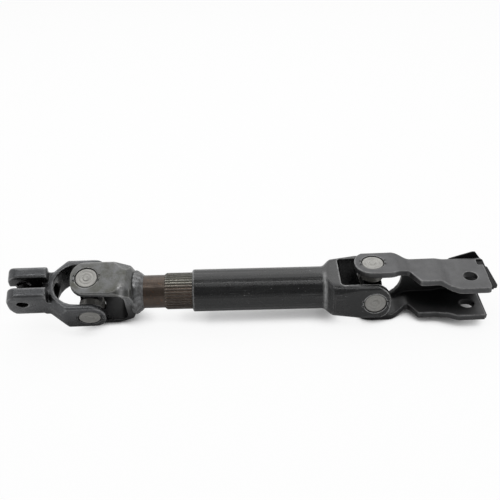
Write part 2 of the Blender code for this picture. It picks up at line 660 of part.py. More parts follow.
def cup():
    """Drawn bearing cup on +z, with a turned ring round the middle of its end."""
    groove = BUTTON_RADIUS + BUTTON_GROOVE_WIDTH
    face = CUP_FACE
    profile = [(face, 0), (face, BUTTON_RADIUS), (face - BUTTON_GROOVE_DEPTH, BUTTON_RADIUS + 0.0003),
               (face, groove), (face, CUP_RADIUS - CUP_CHAMFER), (face - CUP_CHAMFER, CUP_RADIUS),
               (CUP_MOUTH, CUP_RADIUS), (CUP_MOUTH, CUP_BORE_RADIUS), (face - CUP_FLOOR, CUP_BORE_RADIUS),
               (face - CUP_FLOOR, 0)]
    return turned(profile, "z", CUP_STEPS)


def needles():
    """A full row of needles round one trunnion, touching side by side."""
    inner = TRUNNION_RADIUS + GAP
    outer = CUP_BORE_RADIUS - GAP
    pitch = math.pi / NEEDLE_COUNT
    outside = []
    inside = []
    for half in range(2 * NEEDLE_COUNT):
        dip = NEEDLE_DIP * (half % 2)
        for points, radius in ((outside, outer - dip), (inside, inner + dip)):
            points.append((radius * math.cos(half * pitch), radius * math.sin(half * pitch)))
    start = TRUNNION_END - NEEDLE_LENGTH - GAP
    ring = extruded(outside, "xy", start, start + NEEDLE_LENGTH)
    return cut(ring, extruded(inside, "xy", start - PAST, start + NEEDLE_LENGTH + PAST))


def seal():
    """Rubber seal at a cup's mouth, between the cup and the hub."""
    start = HUB_HALF + GAP
    end = start + SEAL_THICKNESS
    inner = TRUNNION_RADIUS + GAP
    lip = 0.0004
    profile = [(start, inner), (start, SEAL_RADIUS - lip), (start + lip, SEAL_RADIUS),
               (end, SEAL_RADIUS), (end, inner)]
    return turned(profile, "z", SMALL_STEPS)


def dress_yoke(parent, joint, axis_name, turn, finishes):
    """Put a cup and its needles in both ears of the yoke that parent carries."""
    for index, side in enumerate((turn, turn + 180)):
        place = Matrix.Rotation(math.radians(side), 4, "X")
        label = f"{joint}_{axis_name}_{index + 1}"
        finished(cup(), f"cup_{label}", finishes["cup"], parent, place)
        finished(needles(), f"needles_{label}", finishes["steel"], parent, place)


def dress_cross(parent, joint, finishes):
    """The cross itself and a seal on each of its four trunnions."""
    finished(cross(), f"{joint}_cross", finishes["steel"], parent)
    for index in range(4):
        place = Matrix.Rotation(math.radians(90 * index), 4, "X")
        finished(seal(), f"seal_{joint}_{index + 1}", finishes["rubber"], parent, place)


def rest_pitch(pieces, pivot_x):
    """The tilt that lets the left end touch the floor while the right yoke's ear lies flat."""
    steepest = 0.0
    for piece in pieces:
        for vert in piece.data.vertices:
            place = piece.matrix_world @ vert.co
            away = pivot_x - place.x
            drop = -place.z
            span = math.hypot(away, drop)
            if away <= EAR_REACH or span <= EAR_REACH:
                continue
            steepest = max(steepest, math.atan2(drop, away) - math.asin(EAR_REACH / span))
    return steepest


def world_bounds(pieces):
    """Lowest and highest corner of all pieces together."""
    places = [piece.matrix_world @ vert.co for piece in pieces for vert in piece.data.vertices]
    low = Vector([min(place[axis] for place in places) for axis in range(3)])
    high = Vector([max(place[axis] for place in places) for axis in range(3)])
    return low, high


def build():
    """Put the whole steering shaft together and lay it on the floor."""
    for old in list(bpy.data.objects):
        bpy.data.objects.remove(old)
    finishes = {
        "cup": material("cup_steel", (0.45, 0.44, 0.42), 0.38, 0.9),
        "steel": material("bearing_steel", (0.50, 0.50, 0.50), 0.30, 1.0),
        "rubber": material("seal_rubber", (0.02, 0.02, 0.02), 0.70, 0.0),
        "forging": material("forged_grey", (0.09, 0.09, 0.095), 0.45, 0.6),
        "pressing": material("pressed_grey", (0.13, 0.135, 0.125), 0.50, 0.6),
        "black": material("black_phosphate", (0.025, 0.025, 0.028), 0.40, 0.4),
        "plate": material("plate_grey", (0.11, 0.11, 0.115), 0.50, 0.5),
        "heat": material("heat_tinted_steel", (0.16, 0.11, 0.08), 0.42, 0.8),
        "weld": material("weld_metal", (0.10, 0.09, 0.085), 0.55, 0.7),
        "clip": material("spring_sheet", (0.02, 0.02, 0.022), 0.45, 0.3),
    }
    tube = empty("tube_frame", None, Matrix.Identity(4))
    left_centre = Matrix.Translation((-JOINT_SPACING, 0, 0))
    quarter = Matrix.Rotation(math.radians(90), 4, "X")
    roll = Matrix.Rotation(math.radians(SHAFT_YOKE_ROLL), 4, "X")

    finished(tube_yoke(), "tube_yoke", finishes["black"], tube, quarter)
    dress_yoke(tube, "right", "tube", 90, finishes)

    right_cross = empty("right_cross_hinge", tube, Matrix.Identity(4))
    dress_cross(right_cross, "right", finishes)
    right_yoke = empty("right_yoke_hinge", right_cross, Matrix.Identity(4))
    finished(channel_yoke(), "channel_yoke", finishes["plate"], right_yoke)
    finished(retaining_clip(), "retaining_clip", finishes["clip"], right_yoke)
    dress_yoke(right_yoke, "right", "channel", 0, finishes)

    slide = empty("shaft_slide", tube, left_centre @ roll)
    pressed = finished(shaft_yoke(), "shaft_yoke", finishes["pressing"], slide)
    finished(splined_shaft(), "splined_shaft", finishes["heat"], slide, roll.inverted())
    finished(weld_bead(), "weld_bead", finishes["weld"], slide)
    dress_yoke(slide, "left", "shaft", 0, finishes)

    left_cross = empty("left_cross_hinge", slide, Matrix.Rotation(math.radians(CLAMP_SWING), 4, "Z"))
    dress_cross(left_cross, "left", finishes)
    left_yoke = empty("left_yoke_hinge", left_cross, Matrix.Rotation(math.radians(CLAMP_TURN), 4, "Y"))
    outward = Matrix(((-1, 0, 0, 0), (0, 0, 1, 0), (0, 1, 0, 0), (0, 0, 0, 1)))
    forged = finished(clamp_yoke(), "clamp_yoke", finishes["forging"], left_yoke, outward)
    dress_yoke(left_yoke, "left", "clamp", 90, finishes)

    bpy.context.view_layer.update()
    pitch = rest_pitch([pressed, forged], 0.0)
    tube.matrix_local = Matrix.Rotation(pitch, 4, "Y")
    right_cross.matrix_local = Matrix.Rotation(-pitch, 4, "Y")
    bpy.context.view_layer.update()
    pieces = [thing for thing in bpy.data.objects if thing.type == "MESH"]
    low, high = world_bounds(pieces)
    middle = (low + high) / 2
    tube.matrix_local = Matrix.Translation((-middle.x, -middle.y, -low.z)) @ tube.matrix_local
    bpy.context.view_layer.update()


build()
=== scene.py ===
import json
import math

import bmesh
import bpy
from mathutils import Matrix, Vector


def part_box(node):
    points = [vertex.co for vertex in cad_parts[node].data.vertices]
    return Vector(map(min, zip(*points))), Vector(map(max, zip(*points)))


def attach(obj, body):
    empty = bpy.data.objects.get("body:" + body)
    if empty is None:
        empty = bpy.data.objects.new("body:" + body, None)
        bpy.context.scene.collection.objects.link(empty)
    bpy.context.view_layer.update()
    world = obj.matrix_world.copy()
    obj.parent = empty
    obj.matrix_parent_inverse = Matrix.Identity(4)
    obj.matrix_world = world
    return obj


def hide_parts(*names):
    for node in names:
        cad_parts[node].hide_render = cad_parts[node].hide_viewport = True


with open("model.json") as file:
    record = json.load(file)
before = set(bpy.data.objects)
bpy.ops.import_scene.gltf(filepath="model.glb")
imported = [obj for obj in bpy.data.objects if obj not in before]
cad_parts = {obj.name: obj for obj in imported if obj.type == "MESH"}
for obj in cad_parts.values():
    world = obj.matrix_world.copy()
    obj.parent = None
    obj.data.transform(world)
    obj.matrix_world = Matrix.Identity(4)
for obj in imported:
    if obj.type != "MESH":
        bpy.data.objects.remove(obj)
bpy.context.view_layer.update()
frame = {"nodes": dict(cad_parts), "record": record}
pivots = {joint["name"]: joint for joint in frame["record"]["behaviour"]["joints"]}


# Splined shaft
# A turned and rolled steel bar. The weld's heat has tinted the bare part bronze brown. On the
# splines, painted light lifts the roots between the teeth out of their shade and greys the side
# seen as the top.
EDGE_SAMPLES = 8
NOOK_SAMPLES = 12
# Noise runs from about 0.3 to 0.7; each span is the part of it that shows
NOISE_SPAN = (0.30, 0.70)
PATCH_SPAN = (0.40, 0.66)
SPECKLE_SCALE = 1300.0
CHIP_SCALE = 420.0
CHIP_SPAN = (0.36, 0.60)
CHIP_LEAST = 0.40
DENT_DEPTH = 0.0001
# The softened normal's agreement with the face's own, from no edge to a full edge
EDGE_TURN = (0.995, 0.90)
RIDGE_POINTINESS = (0.505, 0.535)
# Painted shade in nooks: how open a place must be to escape it, and the near black it darkens to
NOOK_SHADE = (0.93, 0.50)
SHADE_BLACK = (0.010, 0.010, 0.0105)
ROUGHNESS_SHIFT = 0.06
# Where the splines start along x, and where their far side, painted lighter as the lit top, starts
# along y
SPLINE_FROM = -0.0619
SPLINE_FADE = 0.0006
SPLINE_LIT_FROM = -0.0085
SPLINE_LIT_FADE = 0.005
SPLINE_LIT_SHARE = 0.75
SPLINE_LINES = 72
SPLINE_ROOT = 0.0124
SPLINE_TIP = 0.0135
SPLINE_LIT_GREY = (0.16, 0.16, 0.142)
LINE_SHADE = (0.80, 1.15)
GROOVE_LIGHT_GAIN = 3.4
TIP_GAIN = 0.75
RUST_SCALE = 520.0
RUST_SPAN = (0.64, 0.70)
RUST_BROWN = (0.110, 0.055, 0.028)
RUST_SHARE = 0.8


def feed(tree, target, value):
    """Fill an input with another node's output or with a plain value."""
    if isinstance(value, bpy.types.NodeSocket):
        tree.links.new(value, target)
    elif target.type == "RGBA":
        target.default_value = (*value, 1.0)
    else:
        target.default_value = value


def place_node(tree, kind, settings=None, **inputs):
    """Add a shader node with its settings and inputs."""
    made = tree.nodes.new(kind)
    for key, value in (settings or {}).items():
        setattr(made, key, value)
    for key, value in inputs.items():
        feed(tree, made.inputs[key.replace("_", " ")], value)
    return made


def math_of(tree, operation, *values):
    """Combine numbers."""
    made = place_node(tree, "ShaderNodeMath", {"operation": operation})
    for socket, value in zip(made.inputs, values):
        feed(tree, socket, value)
    return made.outputs["Value"]


def vector_of(tree, operation, first, second=None):
    """Combine vectors, or scale one."""
    made = place_node(tree, "ShaderNodeVectorMath", {"operation": operation})
    feed(tree, made.inputs[0], first)
    if second is not None:
        feed(tree, made.inputs["Scale" if operation == "SCALE" else 1], second)
    return made.outputs["Value" if operation in ("DOT_PRODUCT", "LENGTH") else "Vector"]


def colour_of(tree, mask, first, second):
    """Mix two colours by a mask."""
    made = place_node(tree, "ShaderNodeMix", {"data_type": "RGBA"})
    for index, value in ((0, mask), (6, first), (7, second)):
        feed(tree, made.inputs[index], value)
    return made.outputs[2]


def ramp(tree, value, span, result=(0.0, 1.0), smooth=False):
    """Stretch a value's span to the result's span, and hold it at both ends."""
    shape = "SMOOTHSTEP" if smooth else "LINEAR"
    made = place_node(tree, "ShaderNodeMapRange", {"interpolation_type": shape}, Value=value,
                      From_Min=span[0], From_Max=span[1], To_Min=result[0], To_Max=result[1])
    return made.outputs["Result"]


def noise_of(tree, place, scale, detail, roughness=0.5):
    """Noise at a place."""
    made = place_node(tree, "ShaderNodeTexNoise", Vector=place, Scale=scale, Detail=detail,
                      Roughness=roughness)
    return made.outputs["Fac"]


def object_place(tree):
    """The place on a piece, in the object's own coordinates."""
    return place_node(tree, "ShaderNodeTexCoord").outputs["Object"]


def metal_skin_group():
    """Patches, speckle, edges and ridges painted light as wear and as highlight, painted shade in
    nooks, and a soft edge normal for any metal here.
    """
    tree = bpy.data.node_groups.new("metal_skin", "ShaderNodeTree")
    for name in ("Base", "Patch", "Rubbed"):
        tree.interface.new_socket(name, in_out="INPUT", socket_type="NodeSocketColor")
    for name in ("Patch Scale", "Patch Amount", "Edge Amount", "Edge Radius", "Roughness",
                 "Speckle", "Bump", "Cavity", "Nook Reach", "Ridge Amount"):
        tree.interface.new_socket(name, in_out="INPUT", socket_type="NodeSocketFloat")
    for name, kind in (("Color", "NodeSocketColor"), ("Roughness", "NodeSocketFloat"),
                       ("Normal", "NodeSocketVector")):
        tree.interface.new_socket(name, in_out="OUTPUT", socket_type=kind)
    given = tree.nodes.new("NodeGroupInput").outputs
    out = tree.nodes.new("NodeGroupOutput").inputs
    place = object_place(tree)

    patches = noise_of(tree, place, given["Patch Scale"], detail=5.0, roughness=0.62)
    patch_share = math_of(tree, "MULTIPLY", ramp(tree, patches, PATCH_SPAN),
                          given["Patch Amount"])
    speckle = noise_of(tree, place, SPECKLE_SCALE, detail=3.0, roughness=0.7)
    speckle_gain = math_of(tree, "MULTIPLY_ADD", ramp(tree, speckle, NOISE_SPAN, (-1.0, 1.0)),
                           given["Speckle"], 1.0)

    soft = place_node(tree, "ShaderNodeBevel", {"samples": EDGE_SAMPLES},
                      Radius=given["Edge Radius"]).outputs["Normal"]
    real = tree.nodes.new("ShaderNodeNewGeometry").outputs
    # Edges and ridges are painted lighter, partly as wear and partly as a painted highlight on
    # their rounding
    chips = ramp(tree, noise_of(tree, place, CHIP_SCALE, detail=4.0, roughness=0.6),
                 CHIP_SPAN, (CHIP_LEAST, 1.0))
    edge = ramp(tree, vector_of(tree, "DOT_PRODUCT", soft, real["Normal"]), EDGE_TURN)
    edge_wear_and_sheen = math_of(tree, "MULTIPLY", math_of(tree, "MULTIPLY", edge, chips),
                          given["Edge Amount"])
    ridge = ramp(tree, real["Pointiness"], RIDGE_POINTINESS)
    ridge_wear_and_sheen = math_of(tree, "MULTIPLY", math_of(tree, "MULTIPLY", ridge, chips),
                           given["Ridge Amount"])
    wear_and_sheen = math_of(tree, "MAXIMUM", edge_wear_and_sheen, ridge_wear_and_sheen)

    patched = colour_of(tree, patch_share, given["Base"], given["Patch"])
    speckled = vector_of(tree, "SCALE", patched, speckle_gain)
    worn_and_sheened = colour_of(tree, wear_and_sheen, speckled, given["Rubbed"])
    # Painted shade: the colour goes towards black where the part is hemmed in
    nook = place_node(tree, "ShaderNodeAmbientOcclusion", {"samples": NOOK_SAMPLES},
                      Distance=given["Nook Reach"]).outputs["AO"]
    painted_shade = math_of(tree, "MULTIPLY", ramp(tree, nook, NOOK_SHADE, smooth=True), given["Cavity"])
    feed(tree, out["Color"], colour_of(tree, painted_shade, worn_and_sheened, SHADE_BLACK))

    shift = ramp(tree, patches, NOISE_SPAN, (-ROUGHNESS_SHIFT, ROUGHNESS_SHIFT))
    feed(tree, out["Roughness"], math_of(tree, "ADD", shift, given["Roughness"]))
    dents = place_node(tree, "ShaderNodeBump", Distance=DENT_DEPTH, Height=speckle,
                       Strength=given["Bump"], Normal=soft)
    feed(tree, out["Normal"], dents.outputs["Normal"])
    return tree


metal_skin = metal_skin_group()


def shader_inputs(material):
    return material.node_tree.nodes["Principled BSDF"].inputs


def skin_material(name, metallic, base, patch, wear_and_sheen, **values):
    """A Principled metal whose colour, roughness and normal come from the metal skin."""
    made = bpy.data.materials.new(name)
    made.use_nodes = True
    shader = shader_inputs(made)
    shader["Metallic"].default_value = metallic
    skin = place_node(made.node_tree, "ShaderNodeGroup", {"node_tree": metal_skin},
                      Base=base, Patch=patch, Rubbed=wear_and_sheen, **values).outputs
    for output, socket in (("Color", "Base Color"), ("Roughness", "Roughness"),
                           ("Normal", "Normal")):
        feed(made.node_tree, shader[socket], skin[output])
    return made


def paint_over(material, mask, colour):
    """Lay a colour over what a material shows so far, where the mask says."""
    tree = material.node_tree
    target = shader_inputs(material)["Base Color"]
    feed(tree, target, colour_of(tree, mask, target.links[0].from_socket, colour))


def finish_node(node, material):
    """Give a CAD node its material."""
    for slot in frame["nodes"][node].material_slots:
        slot.link = "OBJECT"
        slot.material = material


def spline_lines(tree, offset, axis, count):
    """Fine lines along a shaft, as a wave that runs round its axis."""
    first = axis.cross(Vector((0, 1, 0))).normalized()
    second = axis.cross(first)
    angle = math_of(tree, "ARCTAN2", vector_of(tree, "DOT_PRODUCT", offset, first),
                    vector_of(tree, "DOT_PRODUCT", offset, second))
    return math_of(tree, "SINE", math_of(tree, "MULTIPLY", angle, count))


heat_tint = skin_material(
    "heat_tinted_steel", metallic=0.6, base=(0.066, 0.049, 0.038),
    patch=(0.040, 0.029, 0.023), wear_and_sheen=(0.20, 0.19, 0.17),
    Patch_Scale=140.0, Patch_Amount=0.7, Edge_Amount=0.35, Edge_Radius=0.0011, Roughness=0.33,
    Speckle=0.16, Bump=0.25, Cavity=0.15, Nook_Reach=0.0010)
shaft_end = Vector(pivots["left_cross_pivot"]["pos_m"])
slide_axis = Vector(pivots["shaft_slide"]["axis"]).normalized()
shaft_tree = heat_tint.node_tree
shaft_place = object_place(shaft_tree)
from_end = vector_of(shaft_tree, "SUBTRACT", shaft_place, shaft_end)
line_shade = ramp(shaft_tree, spline_lines(shaft_tree, from_end, slide_axis, SPLINE_LINES),
                  (-1.0, 1.0), LINE_SHADE)
radius = vector_of(shaft_tree, "LENGTH",
                   vector_of(shaft_tree, "CROSS_PRODUCT", from_end, slide_axis))
# Painted light: the roots between the teeth are lifted out of the shade that falls there
groove_light = ramp(shaft_tree, radius, (SPLINE_ROOT, SPLINE_TIP), (GROOVE_LIGHT_GAIN, TIP_GAIN))
shade = math_of(shaft_tree, "MULTIPLY", line_shade, groove_light)
shaft_split = place_node(shaft_tree, "ShaderNodeSeparateXYZ", Vector=shaft_place).outputs
splined = ramp(shaft_tree, shaft_split["X"], (SPLINE_FROM, SPLINE_FROM + SPLINE_FADE))
# Painted light: the splines' far side, seen as their top, is greyer as if lit
lit_side = ramp(shaft_tree, shaft_split["Y"],
             (SPLINE_LIT_FROM, SPLINE_LIT_FROM + SPLINE_LIT_FADE),
             (0.0, SPLINE_LIT_SHARE), smooth=True)
bare_colour = shader_inputs(heat_tint)["Base Color"].links[0].from_socket
lined = vector_of(shaft_tree, "SCALE", bare_colour, shade)
lit_grey = vector_of(shaft_tree, "SCALE", SPLINE_LIT_GREY, shade)
paint_over(heat_tint, splined, colour_of(shaft_tree, lit_side, lined, lit_grey))
# A few flecks of rust
rust_mask = ramp(shaft_tree, noise_of(shaft_tree, shaft_place, RUST_SCALE, detail=3.0),
                 RUST_SPAN, (0.0, RUST_SHARE))
paint_over(heat_tint, rust_mask, RUST_BROWN)
finish_node("splined_shaft", heat_tint)


# Weld bead
# A run of weld laid round the shaft in the corner of the yoke's base, left as it cooled.
# It is rippled, dull grey and slightly scaly.
WELD_SEGMENTS = 120
WELD_PASSES = 26
WELD_RIPPLE = 0.00028
WELD_BOW = 2.86
WELD_LUMP = 0.00045
# How many lumps go round, their turn and their share of the height
WELD_LUMPS = ((3, 0.7, 1.0), (7, 2.1, 0.6))
WELD_LENGTH = 0.0060
WELD_HEIGHT = 0.0039
SHAFT_RADIUS = 0.0122
SHARP_ANGLE = math.radians(38)
TURNED_MERGE = 1e-6
# Along the shaft from the yoke's base, and above the shaft's surface
WELD_SECTION = ((-0.0026, -0.0006), (-0.0026, 0.0029), (-0.0012, 0.0037), (0.0004, WELD_HEIGHT),
                (0.0016, 0.0033), (0.0030, 0.0022), (0.0038, 0.0019), (0.0046, 0.0012),
                (0.0053, 0.0006), (0.0059, 0.0001), (WELD_LENGTH, -0.0006))


def set_down(name, data):
    """Add an object at the origin."""
    made = bpy.data.objects.new(name, data)
    bpy.context.collection.objects.link(made)
    return made


def turned_mesh(name, profile, segments):
    """Spin a (radius, height) profile about z into a closed mesh at the origin."""
    shape = bmesh.new()
    verts = [shape.verts.new((radius, 0.0, height)) for radius, height in profile]
    edges = [shape.edges.new(pair) for pair in zip(verts, verts[1:])]
    if profile[0][0] > 0:
        edges.append(shape.edges.new((verts[-1], verts[0])))
    bmesh.ops.spin(shape, geom=verts + edges, cent=(0, 0, 0), axis=(0, 0, 1),
                   angle=2 * math.pi, steps=segments, use_merge=True)
    bmesh.ops.remove_doubles(shape, verts=shape.verts, dist=TURNED_MERGE)
    bmesh.ops.recalc_face_normals(shape, faces=shape.faces)
    mesh = bpy.data.meshes.new(name)
    shape.to_mesh(mesh)
    shape.free()
    mesh.shade_smooth()
    mesh.set_sharp_from_angle(angle=SHARP_ANGLE)
    return set_down(name, mesh)


def directions(x_way, y_way, z_way):
    """The turn whose axes point these ways."""
    return Matrix((x_way, y_way, z_way)).transposed().to_4x4()


weld_metal = skin_material(
    "weld_metal", metallic=0.8, base=(0.17, 0.172, 0.175),
    patch=(0.050, 0.049, 0.047), wear_and_sheen=(0.40, 0.40, 0.41),
    Patch_Scale=260.0, Patch_Amount=0.8, Edge_Amount=0.2, Edge_Radius=0.0004, Roughness=0.34,
    Speckle=0.25, Bump=0.5, Cavity=0.5, Nook_Reach=0.0015)
weld_low, weld_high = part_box("weld_bead")
weld_middle = (Vector(weld_low) + Vector(weld_high)) / 2
across_shaft = slide_axis.cross(Vector((0, 1, 0))).normalized()
weld_place = directions(across_shaft, slide_axis.cross(across_shaft), slide_axis)
weld_place.translation = weld_middle - slide_axis * WELD_LENGTH / 2
weld = turned_mesh("laid_weld", [(SHAFT_RADIUS + out, along) for along, out in WELD_SECTION],
                   WELD_SEGMENTS)
for vert in weld.data.vertices:
    spot = vert.co
    radius = math.hypot(spot.x, spot.y)
    share = max(0.0, (radius - SHAFT_RADIUS) / WELD_HEIGHT)
    angle = math.atan2(spot.y, spot.x)
    bow = WELD_BOW * math.sin(math.pi * spot.z / WELD_LENGTH)
    ripple = WELD_RIPPLE * math.sin(WELD_PASSES * angle + bow)
    lumps = sum(part * math.sin(count * angle + turn) for count, turn, part in WELD_LUMPS)
    lump = WELD_LUMP * lumps / sum(part for _, _, part in WELD_LUMPS)
    swell = 1 + share * (ripple + lump) / radius
    spot.x *= swell
    spot.y *= swell
weld.data.transform(weld_place)
weld.data.materials.append(weld_metal)
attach(weld, "shaft")
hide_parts("weld_bead")


# Shaft yoke
# Pressed from thick plate into a U, pierced and welded to the shaft. Its thin grey coating
# has gone greenish in places and brown near the weld.
BAND_STREAKS = (900.0, 260.0, 260.0)
STREAK_SPAN = (0.34, 0.60)
STREAK_LEAST = 0.35
BEND_HIGHLIGHT = (0.46, 0.46, 0.46)
COPY_MERGE = 1e-5
ROUNDING_SHARE = 0.5


def band_mask_group():
    """A soft band across the object at one place along x, broken up by noise."""
    tree = bpy.data.node_groups.new("band_mask", "ShaderNodeTree")
    for name in ("Middle", "Half Width", "Near Side", "Far Side"):
        tree.interface.new_socket(name, in_out="INPUT", socket_type="NodeSocketFloat")
    tree.interface.new_socket("Mask", in_out="OUTPUT", socket_type="NodeSocketFloat")
    given = tree.nodes.new("NodeGroupInput").outputs
    out = tree.nodes.new("NodeGroupOutput").inputs
    place = object_place(tree)
    split = place_node(tree, "ShaderNodeSeparateXYZ", Vector=place).outputs
    distance = math_of(tree, "ABSOLUTE", math_of(tree, "SUBTRACT", split["X"], given["Middle"]))
    fade = ramp(tree, distance, (0.0, given["Half Width"]), (1.0, 0.0), smooth=True)
    side = ramp(tree, split["Y"], (given["Near Side"], given["Far Side"]), (1.0, 0.0),
                smooth=True)
    stretched = place_node(tree, "ShaderNodeMapping", Vector=place, Scale=BAND_STREAKS)
    streaks = noise_of(tree, stretched.outputs["Vector"], scale=1.0, detail=3.0, roughness=0.6)
    broken = ramp(tree, streaks, STREAK_SPAN, (STREAK_LEAST, 1.0))
    feed(tree, out["Mask"],
         math_of(tree, "MULTIPLY", math_of(tree, "MULTIPLY", fade, side), broken))
    return tree


band_mask = band_mask_group()


def paint_highlight_band(material, colour, share, middle, half_width, near, far):
    """Paint a lighter band across a piece as a painted highlight, at one place along x, fading
    from near to far in y.
    """
    tree = material.node_tree
    band = place_node(tree, "ShaderNodeGroup", {"node_tree": band_mask}, Middle=middle,
                      Half_Width=half_width, Near_Side=near, Far_Side=far)
    paint_over(material, math_of(tree, "MULTIPLY", band.outputs["Mask"], share), colour)


def body_of(node):
    """The moving body that carries a node."""
    for body, nodes in frame["record"]["behaviour"]["bodies"].items():
        if node in nodes:
            return body
    return None


def soft_copy(node, material, voxel, rounds):
    """Replace a CAD node by a copy whose edges are rounded, as forging or pressing leaves them."""
    source = frame["nodes"][node]
    shape = bmesh.new()
    shape.from_mesh(source.data)
    shape.transform(source.matrix_world)
    bmesh.ops.remove_doubles(shape, verts=shape.verts, dist=COPY_MERGE)
    mesh = bpy.data.meshes.new(f"soft_{node}")
    shape.to_mesh(mesh)
    shape.free()
    mesh.materials.clear()
    mesh.materials.append(material)
    for face in mesh.polygons:
        face.material_index = 0
    made = set_down(f"soft_{node}", mesh)
    even = made.modifiers.new("even", "REMESH")
    even.mode = "VOXEL"
    even.voxel_size = voxel
    even.use_smooth_shade = True
    rounding = made.modifiers.new("rounding", "SMOOTH")
    rounding.factor = ROUNDING_SHARE
    rounding.iterations = rounds
    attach(made, body_of(node))
    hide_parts(node)


pressed_grey = skin_material(
    "pressed_grey", metallic=0.65, base=(0.140, 0.142, 0.145),
    patch=(0.062, 0.062, 0.049), wear_and_sheen=(0.40, 0.40, 0.39),
    Patch_Scale=75.0, Patch_Amount=0.9, Edge_Amount=0.0, Edge_Radius=0.0012, Roughness=0.31,
    Speckle=0.20, Bump=0.35, Cavity=0.97, Nook_Reach=0.030, Ridge_Amount=0.6)
# A painted highlight on the bend beside the weld, where its rounding catches the light
paint_highlight_band(pressed_grey, BEND_HIGHLIGHT, share=0.85, middle=-0.0925, half_width=0.0035, near=-0.0155,
         far=-0.0105)
soft_copy("shaft_yoke", pressed_grey, voxel=0.0004, rounds=14)


# Clamp yoke
# A steel forging: two ears for the cross, and a split clamp that grips a serrated shaft.
# The dark coating is lighter along its edges and on the clamp's rounded tops: partly wear, partly
# a painted highlight.
forged_grey = skin_material(
    "forged_grey", metallic=0.70, base=(0.082, 0.084, 0.087),
    patch=(0.042, 0.043, 0.046), wear_and_sheen=(0.42, 0.42, 0.42),
    Patch_Scale=110.0, Patch_Amount=0.7, Edge_Amount=0.35, Edge_Radius=0.0022, Roughness=0.28,
    Speckle=0.18, Bump=0.40, Cavity=0.97, Nook_Reach=0.026, Ridge_Amount=0.7)
soft_copy("clamp_yoke", forged_grey, voxel=0.0004, rounds=24)


# Tube yoke
# A drawn steel tube, splined inside, whose far end is formed into a yoke. It is coated
# semi-gloss black, with faint scuffs along it, and its thin bright edges are partly wear, partly a
# painted highlight.
SCUFF_STRETCH = (45.0, 900.0, 900.0)
SCUFF_SPAN = (0.60, 0.74)
SCUFF_SHARE = 0.42
SPECK_SCALE = 750.0
SPECK_SPAN = (0.71, 0.76)
SPECK_SHARE = 0.9
SCUFF_GREY = (0.16, 0.16, 0.16)
FLARE_HIGHLIGHT = (0.30, 0.30, 0.30)
TUBE_SHINE = 0.40
black_finish = skin_material(
    "black_finish", metallic=0.0, base=(0.010, 0.0103, 0.0107),
    patch=(0.014, 0.0143, 0.0147), wear_and_sheen=(0.42, 0.42, 0.42),
    Patch_Scale=70.0, Patch_Amount=0.8, Edge_Amount=1.0, Edge_Radius=0.0020, Roughness=0.25,
    Speckle=0.18, Bump=0.15, Cavity=0.9, Nook_Reach=0.026)
shader_inputs(black_finish)["Specular IOR Level"].default_value = TUBE_SHINE
tube_tree = black_finish.node_tree
tube_place = object_place(tube_tree)
along_tube = place_node(tube_tree, "ShaderNodeMapping", Vector=tube_place, Scale=SCUFF_STRETCH)
streaks = noise_of(tube_tree, along_tube.outputs["Vector"], scale=1.0, detail=4.0,
                   roughness=0.65)
scuffs = ramp(tube_tree, streaks, SCUFF_SPAN, (0.0, SCUFF_SHARE))
specks = ramp(tube_tree, noise_of(tube_tree, tube_place, SPECK_SCALE, detail=2.0),
              SPECK_SPAN, (0.0, SPECK_SHARE))
paint_over(black_finish, math_of(tube_tree, "MAXIMUM", scuffs, specks), SCUFF_GREY)
# A painted highlight on the flare's edge, on the near side
paint_highlight_band(black_finish, FLARE_HIGHLIGHT, share=0.85, middle=0.0548, half_width=0.0022, near=-0.0060,
         far=0.0020)
finish_node("tube_yoke", black_finish)


# Channel yoke
# Bent from plate: two ears that run on into a channel, open on one side, with a bolt hole
# through both flanges. The coating is satin mid grey, lighter along the sheared edges.
plate_grey = skin_material(
    "plate_grey", metallic=0.45, base=(0.073, 0.073, 0.075),
    patch=(0.056, 0.056, 0.057), wear_and_sheen=(0.30, 0.30, 0.30),
    Patch_Scale=120.0, Patch_Amount=0.6, Edge_Amount=0.0, Edge_Radius=0.0008, Roughness=0.42,
    Speckle=0.14, Bump=0.30, Cavity=0.90, Nook_Reach=0.030, Ridge_Amount=0.6)
soft_copy("channel_yoke", plate_grey, voxel=0.0005, rounds=4)


# Retaining clip
# Thin spring sheet, blanked, folded and blackened. It lies along the channel's back and
# hooks over its free end.
CLIP_SHINE = 0.12
spring_sheet = skin_material(
    "spring_sheet", metallic=0.0, base=(0.006, 0.006, 0.0065),
    patch=(0.010, 0.010, 0.010), wear_and_sheen=(0.12, 0.12, 0.12),
    Patch_Scale=150.0, Patch_Amount=0.5, Edge_Amount=0.4, Edge_Radius=0.0003, Roughness=0.45,
    Speckle=0.15, Bump=0.20, Cavity=0.8, Nook_Reach=0.010)
shader_inputs(spring_sheet)["Specular IOR Level"].default_value = CLIP_SHINE
finish_node("retaining_clip", spring_sheet)


# Crosses and needles
# Each cross is a small forging with four ground trunnions, which run in rows of needles.
# They sit deep inside the joints, dark with old grease and with painted shade in their nooks.
greased_steel = skin_material(
    "greased_steel", metallic=0.9, base=(0.10, 0.097, 0.094),
    patch=(0.025, 0.023, 0.021), wear_and_sheen=(0.30, 0.30, 0.30),
    Patch_Scale=160.0, Patch_Amount=0.8, Edge_Amount=0.3, Edge_Radius=0.0004, Roughness=0.35,
    Speckle=0.15, Bump=0.30, Cavity=0.97, Nook_Reach=0.020)
for node in frame["nodes"]:
    if node.startswith("needles_") or node in ("left_cross", "right_cross"):
        finish_node(node, greased_steel)


# Seals
# A moulded ring of black rubber at each cup's mouth, slipped over the trunnion before the
# cup goes on. It keeps the grease in and the dirt out.
def plain_material(name, colour, roughness):
    """A material of one colour."""
    made = bpy.data.materials.new(name)
    made.use_nodes = True
    shader = shader_inputs(made)
    feed(made.node_tree, shader["Base Color"], colour)
    shader["Roughness"].default_value = roughness
    return made


